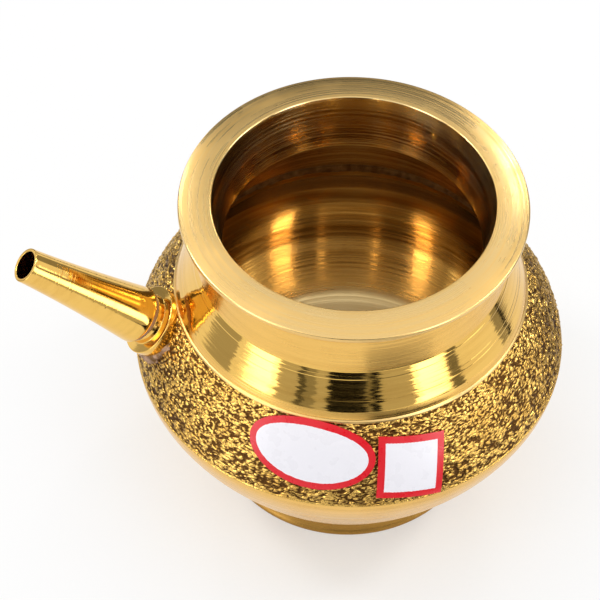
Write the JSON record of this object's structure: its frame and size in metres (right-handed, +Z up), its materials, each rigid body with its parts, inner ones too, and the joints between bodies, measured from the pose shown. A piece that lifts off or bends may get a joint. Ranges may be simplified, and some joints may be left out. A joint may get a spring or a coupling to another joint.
{
  "type": "karwa pot",
  "caption": "Round-bellied brass water pot with a wide flat rim, a textured band, a ring foot and a tapered screw-on spout.",
  "frame": {"origin": "on the table under the centre of the whole object's box, spout included; the pot's own axis stands 15.2 mm towards +X from it", "axes": "+Z up, the spout points along -X, and the side with the labels faces -Y"},
  "size_m": [0.1484, 0.1182, 0.1],
  "materials": {
    "turned_brass": "turned and buffed, with a cast bark texture on the band",
    "polished_brass": "mirror polished",
    "braze_filler": "dull, as left by the torch",
    "washer_leather": "plain",
    "label_paper": "gloss printed sticker, red border round a bare white face"
  },
  "bodies": {
    "root": {"upper_shell": "turned_brass", "lower_shell": "turned_brass", "foot_ring": "turned_brass", "seam_braze": "braze_filler", "spout_collar": "polished_brass", "collar_braze": "braze_filler", "oval_label": "label_paper", "square_label": "label_paper"},
    "washer": {"sealing_washer": "washer_leather"},
    "spout": {"spout": "polished_brass"}
  },
  "joints": [
    {"name": "spout_travel", "type": "slide", "parent": "root", "child": "washer", "axis": [-0.7396, 0, 0.673], "range_m": [0, 0.0061]},
    {"name": "spout_turn", "type": "hinge", "parent": "washer", "child": "spout", "pos_m": [-0.04264, 0, 0.06367], "axis": [-0.7396, 0, 0.673], "range_deg": [0, 1440]}
  ],
  "couplings": [
    {"joint": "spout_travel", "follows": "spout_turn", "m_per_rad": 0.00023873}
  ]
}
